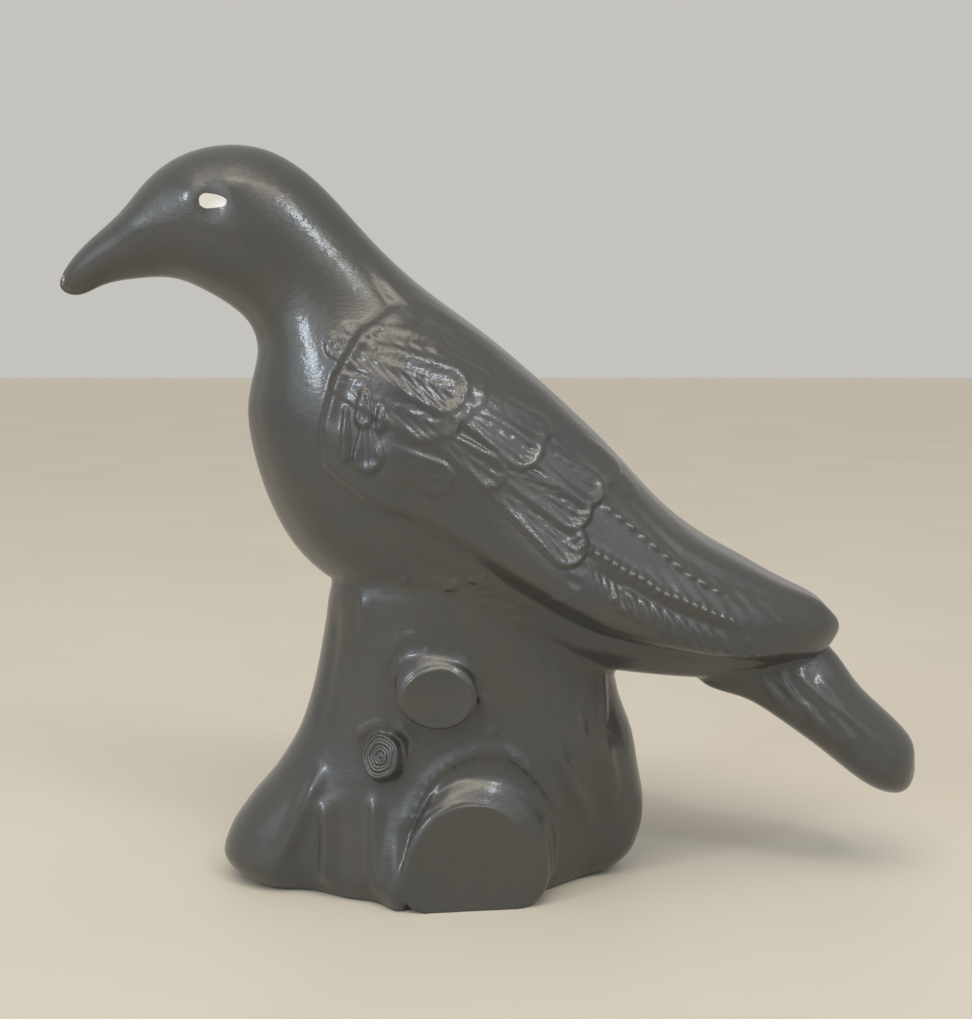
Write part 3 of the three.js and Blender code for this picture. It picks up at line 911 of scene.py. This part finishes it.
# %% [markdown]
# ## Rounding the joints
#
# Clay has no sharp inner corners, because glaze and slip run into them. Around every joint the points are
# drawn towards the middle of their neighbours, again and again, strongly at the joint and less and less away
# from it. How far the rounding reaches depends on the two forms: wide where the bird sits down on the stump,
# narrow round the knot, so that its rings stay sharp.

# %% Round the joints
JOINT_REACH = {"body": 3.8, "stump": 4.5, "tail": 2.6, "log": 3, "branch": 3, "knot": 1}
PASSES = 26


def read(collection, name, width, kind):
    """One attribute of a mesh collection as an array."""
    values = np.empty(len(collection) * width, kind)
    collection.foreach_get(name, values)
    return values.reshape(-1, width) if width > 1 else values


def joint_edges(mesh):
    """Edges between faces of two forms, and the numbers of these forms."""
    loop_edge = read(mesh.loops, "edge_index", 1, np.int32)
    total = read(mesh.polygons, "loop_total", 1, np.int32)
    form = np.repeat(read(mesh.polygons, "material_index", 1, np.int32), total)
    order = np.argsort(loop_edge, kind="stable")
    first, second = order[0::2], order[1::2]
    differ = form[first] != form[second]
    return loop_edge[first[differ]], form[first[differ]], form[second[differ]]


def spread_from(seeds, edges, lengths, count, reach):
    """Distance over the mesh from the seed points, up to reach: each pass takes the shortest way by one edge."""
    distance = np.full(count, np.inf)
    distance[seeds] = 0
    for _ in range(int(reach * 3) + 4):
        for near, far in (edges.T, edges.T[::-1]):
            np.minimum.at(distance, far, distance[near] + lengths)
    return distance


def round_joints(mesh):
    """Moves points near the joints towards the mean of their neighbours, by a weight that fades with distance."""
    points = read(mesh.vertices, "co", 3, np.float32).astype(float) / MM
    edges = read(mesh.edges, "vertices", 2, np.int32)
    lengths = np.linalg.norm(points[edges[:, 0]] - points[edges[:, 1]], axis=1)
    edge, one, two = joint_edges(mesh)
    reach_of = np.array([JOINT_REACH[name] for name in FORMS])
    reach = np.minimum(reach_of[one], reach_of[two])
    weight = np.zeros(len(points))
    for value in np.unique(reach):
        seeds = np.unique(edges[edge[reach == value]])
        distance = spread_from(seeds, edges, lengths, len(points), value)
        weight = np.maximum(weight, smooth(value, 0.2 * value, distance))
    near = weight > 0
    degree = np.bincount(edges.ravel(), minlength=len(points))
    for _ in range(PASSES):
        for axis in range(3):
            total = np.bincount(edges[:, 0], points[edges[:, 1], axis], len(points))
            total += np.bincount(edges[:, 1], points[edges[:, 0], axis], len(points))
            drawn = total / degree - points[:, axis]
            points[:, axis] += 0.5 * weight * drawn
    mesh.vertices.foreach_set("co", (points * MM).astype(np.float32).ravel())
    mesh.update()
    return int(near.sum()), len(edge)


moved, joints = round_joints(raven.data)
print("rounded", moved, "points along", joints, "joint edges")

# %% [markdown]
# ## Marks made last
#
# Round the log runs a double row of small dashes, as if the edge of a tool had been pressed into the clay when
# everything else was finished. They are put on last here too, because the rounding would wipe them out. The
# same words serve as before, a rope along a line in side view, and each point moves along its own normal.

# %% Dashes round the log
LOG_DASHES = [
    ([[-7, 29], [-5, 35], [-3, 39.5], [0, 45], [4, 49], [10, 53], [18, 56.5]], 1, 1, 4.1),
    ([[-3, 33], [0, 39], [4, 44.5], [9, 48.5]], 0.6, 0.8, 4.1),
    ([[26, 57], [31, 53], [35, 49.5], [39, 45], [42, 40], [44.5, 35]], 1.1, 1, 5.6),
]


def press_marks(mesh):
    """Moves the points that face the viewer along their normals by the height of the dashes."""
    points = read(mesh.vertices, "co", 3, np.float32).astype(float) / MM
    normals = read(mesh.vertices, "normal", 3, np.float32).astype(float)
    x, y, z = points.T
    lift = sum(rope(path, x, z, *shape) for path, *shape in LOG_DASHES)
    lift = lift * (y < 0) * smooth(0.1, 0.45, -normals[:, 1])
    points += normals * lift[:, None]
    mesh.vertices.foreach_set("co", (points * MM).astype(np.float32).ravel())
    mesh.update()
    return int((np.abs(lift) > 0.05).sum())


print("points moved by the dashes:", press_marks(raven.data))

# %% [markdown]
# ## The flat underside
#
# A cast foot is rubbed flat on a wet board so that it stands. Here a large block takes away everything
# below the ground. The cut is the one sharp edge of the piece, so its faces stay flat while all others are
# shaded smooth.

# %% Cut at the ground
GROUND_DEPTH = 20
GROUND_REACH = 300
corner = np.array([[i, j, k] for i in (-1, 1) for j in (-1, 1) for k in (-1, 0)], float)
box_faces = [[0, 1, 3], [0, 3, 2], [4, 6, 7], [4, 7, 5], [0, 4, 5], [0, 5, 1], [2, 3, 7], [2, 7, 6], [0, 2, 6], [0, 6, 4], [1, 5, 7], [1, 7, 3]]
ground_points = corner * [GROUND_REACH, GROUND_REACH, GROUND_DEPTH]
ground = object_of("ground_block", mesh_of("ground_block", ground_points, np.array(box_faces)))
for material in marker.values():
    ground.data.materials.append(material)
combine(raven, ground, "DIFFERENCE")
piece = raven.data
centres = read(piece.polygons, "center", 3, np.float32)
normals = read(piece.polygons, "normal", 3, np.float32)
underside = (centres[:, 2] < 0.05 * MM) & (normals[:, 2] < -0.9)
piece.polygons.foreach_set("use_smooth", ~underside)
triangle_count = int((read(piece.polygons, "loop_total", 1, np.int32) - 2).sum())
print("casting:", triangle_count, "triangles,", int(underside.sum()), "faces underneath")

# %% [markdown]
# ## Paint
#
# The black is brushed on: a warm brown-black and a cool blue-black that are not quite even, with hair-fine
# brush marks and small pits that break up the edges of every highlight. The paint is satin. It shines more
# where the brush left it thick. White clay shows where the paint is chipped at the tip of the beak, and in
# a few pinholes. Each eye is a dab of white, and only colour, so it is painted and not raised.
#
# All of it is worked out from Object coordinates, which are the metres of the part's own frame, so the
# paint stays where it is from every side. A small helper keeps the node code short.


# %% A helper for nodes
class Nodes:
    """Adds nodes to a material and links them. A value that is a socket is linked, and any other is set."""

    def __init__(self, material):
        self.tree = material.node_tree

    def add(self, kind, inputs=None, output=0, **settings):
        node = self.tree.nodes.new(kind)
        for name, value in settings.items():
            setattr(node, name, value)
        for name, value in (inputs or {}).items():
            socket = node.inputs[name]
            if isinstance(value, bpy.types.NodeSocket):
                self.tree.links.new(value, socket)
            else:
                socket.default_value = value
        return node.outputs[output]

    def math(self, operation, *values, clamp=False):
        return self.add("ShaderNodeMath", dict(enumerate(values)), operation=operation, use_clamp=clamp)

    def noise(self, at, scale, detail=2.0, roughness=0.5):
        inputs = {"Vector": at, "Scale": scale, "Detail": detail, "Roughness": roughness}
        return self.add("ShaderNodeTexNoise", inputs)

    def between(self, value, low, high, start=0.0, end=1.0):
        """start below low, end above high, and a smooth step between."""
        inputs = {"Value": value, "From Min": low, "From Max": high, "To Min": start, "To Max": end}
        return self.add("ShaderNodeMapRange", inputs, interpolation_type="SMOOTHSTEP")

    def mix_colour(self, share, a, b):
        node = self.tree.nodes.new("ShaderNodeMix")
        node.data_type = "RGBA"
        for socket, value in ((node.inputs[0], share), (node.inputs[6], a), (node.inputs[7], b)):
            if isinstance(value, bpy.types.NodeSocket):
                self.tree.links.new(value, socket)
            else:
                socket.default_value = value
        return node.outputs[2]

    def near(self, at, place, radius, softness):
        """1 within radius of a place, fading to 0 over softness."""
        distance = self.add("ShaderNodeVectorMath", {0: at, 1: [v * MM for v in place]}, 1, operation="DISTANCE")
        return self.between(distance, (radius + softness) * MM, (radius - softness) * MM)


# %% The painted eye
EYE_CENTRE = [-75.2, 249.9]
EYE_HALF = [4.9, 2.4]
EYE_TURN = 0.05


def eye_mask(n, x, z, wobble):
    """1 inside a rounded almond: |u|^2.6 + |v|^2.2 < 1, where u and v are turned and sheared to the eye."""
    du = n.math("SUBTRACT", x, EYE_CENTRE[0] * MM)
    dv = n.math("SUBTRACT", z, EYE_CENTRE[1] * MM)
    sheared = n.math("ADD", dv, n.math("MULTIPLY", du, EYE_TURN))
    u = n.math("DIVIDE", du, EYE_HALF[0] * MM)
    v = n.math("DIVIDE", sheared, EYE_HALF[1] * MM)
    narrowing = n.math("MULTIPLY_ADD", u, 0.28, 1.0)
    v = n.math("MULTIPLY", v, narrowing)
    total = n.math("ADD", n.math("POWER", n.math("ABSOLUTE", u), 2.6), n.math("POWER", n.math("ABSOLUTE", v), 2.2))
    return n.between(n.math("ADD", total, wobble), 1.06, 0.94)


# %% The paint
WARM_BLACK = (0.043, 0.040, 0.035, 1)
COOL_BLACK = (0.034, 0.036, 0.037, 1)
CLAY_WHITE = (0.62, 0.59, 0.53, 1)
EYE_WHITE = (0.60, 0.585, 0.54, 1)
CHIPS = [
    [-134.8, -1.5, 223.5, 1.8],
    [-132.6, -4, 226, 1],
    [-130, -5.2, 224, 0.6],
    [-133, -2.6, 219.8, 0.9],
    [-134.5, 2, 224.5, 1.2],
]
PINHOLES = [[-124, -6, 236.5, 0.6], [-74, -13.5, 263.5, 0.55], [-76.3, -15, 260.6, 0.35], [-17, -43, 52, 0.4]]


def ceramic_paint():
    """Brushed satin black with chips, pinholes and the white of the eyes."""
    material = bpy.data.materials.new("painted_ceramic")
    material.use_nodes = True
    n = Nodes(material)
    shader = n.tree.nodes["Principled BSDF"]
    at = n.add("ShaderNodeTexCoord", output="Object")
    x = n.add("ShaderNodeSeparateXYZ", {0: at}, 0)
    y = n.add("ShaderNodeSeparateXYZ", {0: at}, 1)
    z = n.add("ShaderNodeSeparateXYZ", {0: at}, 2)

    patches = n.noise(at, 28, 3)
    mottle = n.noise(at, 210, 3, 0.6)
    tone = n.math("MULTIPLY_ADD", mottle, 0.35, n.math("MULTIPLY", patches, 0.65))
    colour = n.mix_colour(n.between(tone, 0.38, 0.62), COOL_BLACK, WARM_BLACK)

    flecks = n.noise(at, 900, 2)
    chipped = n.math("MULTIPLY", flecks, 0)
    for cx, cy, cz, radius in CHIPS:
        chipped = n.math("MAXIMUM", chipped, n.near(at, [cx, cy, cz], radius, 0.35 * radius))
    chipped = n.math("MULTIPLY", chipped, n.between(flecks, 0.44, 0.56))
    for cx, cy, cz, radius in PINHOLES:
        chipped = n.math("MAXIMUM", chipped, n.near(at, [cx, cy, cz], radius, 0.3 * radius))
    colour = n.mix_colour(chipped, colour, CLAY_WHITE)

    wobble = n.math("MULTIPLY_ADD", n.noise(at, 420, 2), 0.34, -0.17)
    on_side = n.between(n.math("ABSOLUTE", y), 8 * MM, 10 * MM)
    eye = n.math("MULTIPLY", eye_mask(n, x, z, wobble), on_side)
    colour = n.mix_colour(eye, colour, EYE_WHITE)
    n.tree.links.new(colour, shader.inputs["Base Color"])

    shader.inputs["Roughness"].default_value = 0.42
    gloss = n.math("MULTIPLY_ADD", n.noise(at, 75, 3, 0.6), 0.22, 0.06)
    n.tree.links.new(n.math("MAXIMUM", gloss, n.math("MULTIPLY", eye, 0.3)), shader.inputs["Coat Roughness"])
    n.tree.links.new(n.math("MULTIPLY_ADD", chipped, -0.6, 0.7), shader.inputs["Coat Weight"])

    down_the_back = n.add(
        "ShaderNodeMapping", {"Vector": at, "Rotation": (0, 0.72, 0), "Scale": (0.22, 1, 1)}, vector_type="POINT"
    )
    hairs = n.noise(down_the_back, 1300, 2, 0.6)
    ripples = n.noise(at, 330, 3, 0.55)
    swells = n.noise(at, 90, 2)
    relief = n.math("MULTIPLY_ADD", ripples, 0.9, n.math("MULTIPLY", hairs, 0.32))
    relief = n.math("MULTIPLY_ADD", swells, 1.3, relief)
    relief = n.math("MULTIPLY_ADD", chipped, -0.8, relief)
    bump = n.add("ShaderNodeBump", {"Strength": 0.6, "Distance": 0.24 * MM, "Height": relief})
    n.tree.links.new(bump, shader.inputs["Normal"])
    n.tree.links.new(bump, shader.inputs["Coat Normal"])
    return material


paint = ceramic_paint()
piece.materials.clear()
piece.materials.append(paint)
piece.polygons.foreach_set("material_index", np.zeros(len(piece.polygons), np.int32))
for material in marker.values():
    bpy.data.materials.remove(material)
piece.name = raven.name
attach(raven, "root")
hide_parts(FIGURE)
print("paint nodes:", len(paint.node_tree.nodes))

# %% [markdown]
# ## Floor, light and camera
#
# Dark glossy paint is seen mostly by what it mirrors. A pale room all round gives the bright rims along the
# outline, a large cool window at the left and towards the viewer draws the crisp highlights on the shoulder
# and the breast, and a warm lamp overhead lights the head and the back. The floor is plain and pale.


# %% Floor and world
def plain_surface(name, colour, roughness):
    """A material of one colour with a very faint cloud in it."""
    material = bpy.data.materials.new(name)
    material.use_nodes = True
    n = Nodes(material)
    shader = n.tree.nodes["Principled BSDF"]
    at = n.add("ShaderNodeTexCoord", output="Object")
    cloud = n.between(n.noise(at, 6, 3), 0.3, 0.7)
    darker = [c * 0.96 for c in colour[:3]] + [1]
    n.tree.links.new(n.mix_colour(cloud, darker, colour), shader.inputs["Base Color"])
    shader.inputs["Roughness"].default_value = roughness
    return material


FLOOR_REACH = 6000
floor_z = cad_box[0][2] / MM
floor_points = np.array([[-1, -1, 0], [1, -1, 0], [1, 1, 0], [-1, 1, 0]]) * FLOOR_REACH + [0, 0, floor_z]
floor = object_of("floor", mesh_of("floor", floor_points, np.array([[0, 1, 2], [0, 2, 3]])))
floor.data.materials.append(plain_surface("pale_floor", (0.60, 0.555, 0.475, 1), 0.55))

world = bpy.data.worlds.new("pale_room")
world.use_nodes = True
world.node_tree.nodes["Background"].inputs["Color"].default_value = (1.0, 0.975, 0.93, 1)
world.node_tree.nodes["Background"].inputs["Strength"].default_value = 0.56
bpy.context.scene.world = world
print("floor at", floor_z, "mm")


# %% Lights
LOOKED_AT = Vector((10, 0, 140)) * MM


def soft_light(name, direction, distance, size, colour, watts):
    """A rectangular lamp at a distance from the bird's middle, turned towards it."""
    lamp = bpy.data.lights.new(name, "AREA")
    lamp.shape = "RECTANGLE"
    lamp.size, lamp.size_y = (side * MM for side in size)
    lamp.color = colour
    lamp.energy = watts
    made = bpy.data.objects.new(name, lamp)
    towards = Vector(direction).normalized()
    made.location = LOOKED_AT + towards * distance * MM
    made.rotation_euler = towards.to_track_quat("Z", "Y").to_euler()
    bpy.context.scene.collection.objects.link(made)
    return made


lamps = [
    soft_light("window", (-0.68, -0.60, 0.40), 1500, (190, 260), (0.80, 0.90, 1.0), 4.0),
    soft_light("window_glow", (-0.68, -0.62, 0.38), 1500, (1300, 1000), (0.72, 0.86, 1.0), 3.6),
    soft_light("far_window", (0.44, -0.58, 0.68), 1500, (190, 190), (0.84, 0.92, 1.0), 2.9),
    soft_light("far_glow", (0.60, -0.62, 0.50), 1500, (1300, 1000), (0.78, 0.90, 1.0), 2.6),
    soft_light("ceiling_lamp", (0.05, -0.52, 0.85), 1500, (1400, 280), (1.0, 0.86, 0.66), 4.6),
]
daylight = bpy.data.lights.new("daylight", "SUN")
daylight.angle = np.radians(50)
daylight.energy = 1.0
daylight.color = (1.0, 0.92, 0.80)
sky = bpy.data.objects.new("daylight", daylight)
sky.rotation_euler = Vector((-0.12, -0.42, 0.90)).to_track_quat("Z", "Y").to_euler()
bpy.context.scene.collection.objects.link(sky)
lamps.append(sky)
print("lights:", [lamp.name for lamp in lamps])

# %% Camera
CAMERA_PLACE = [20, -553, 205]
CAMERA_PITCH = -6.8
FOCAL_PIXELS = 1500
IMAGE_HEIGHT = 1019
SENSOR = 36
camera_data = bpy.data.cameras.new("camera")
camera_data.sensor_fit = "VERTICAL"
camera_data.sensor_height = SENSOR
camera_data.lens = FOCAL_PIXELS * SENSOR / IMAGE_HEIGHT
camera_data.clip_start = 0.01
camera = bpy.data.objects.new("camera", camera_data)
camera.location = [v * MM for v in CAMERA_PLACE]
camera.rotation_euler = (np.radians(90 + CAMERA_PITCH), 0, 0)
bpy.context.scene.collection.objects.link(camera)
bpy.context.scene.camera = camera
bpy.context.scene.view_settings.view_transform = "Standard"
print("lens", round(camera_data.lens, 2), "mm")
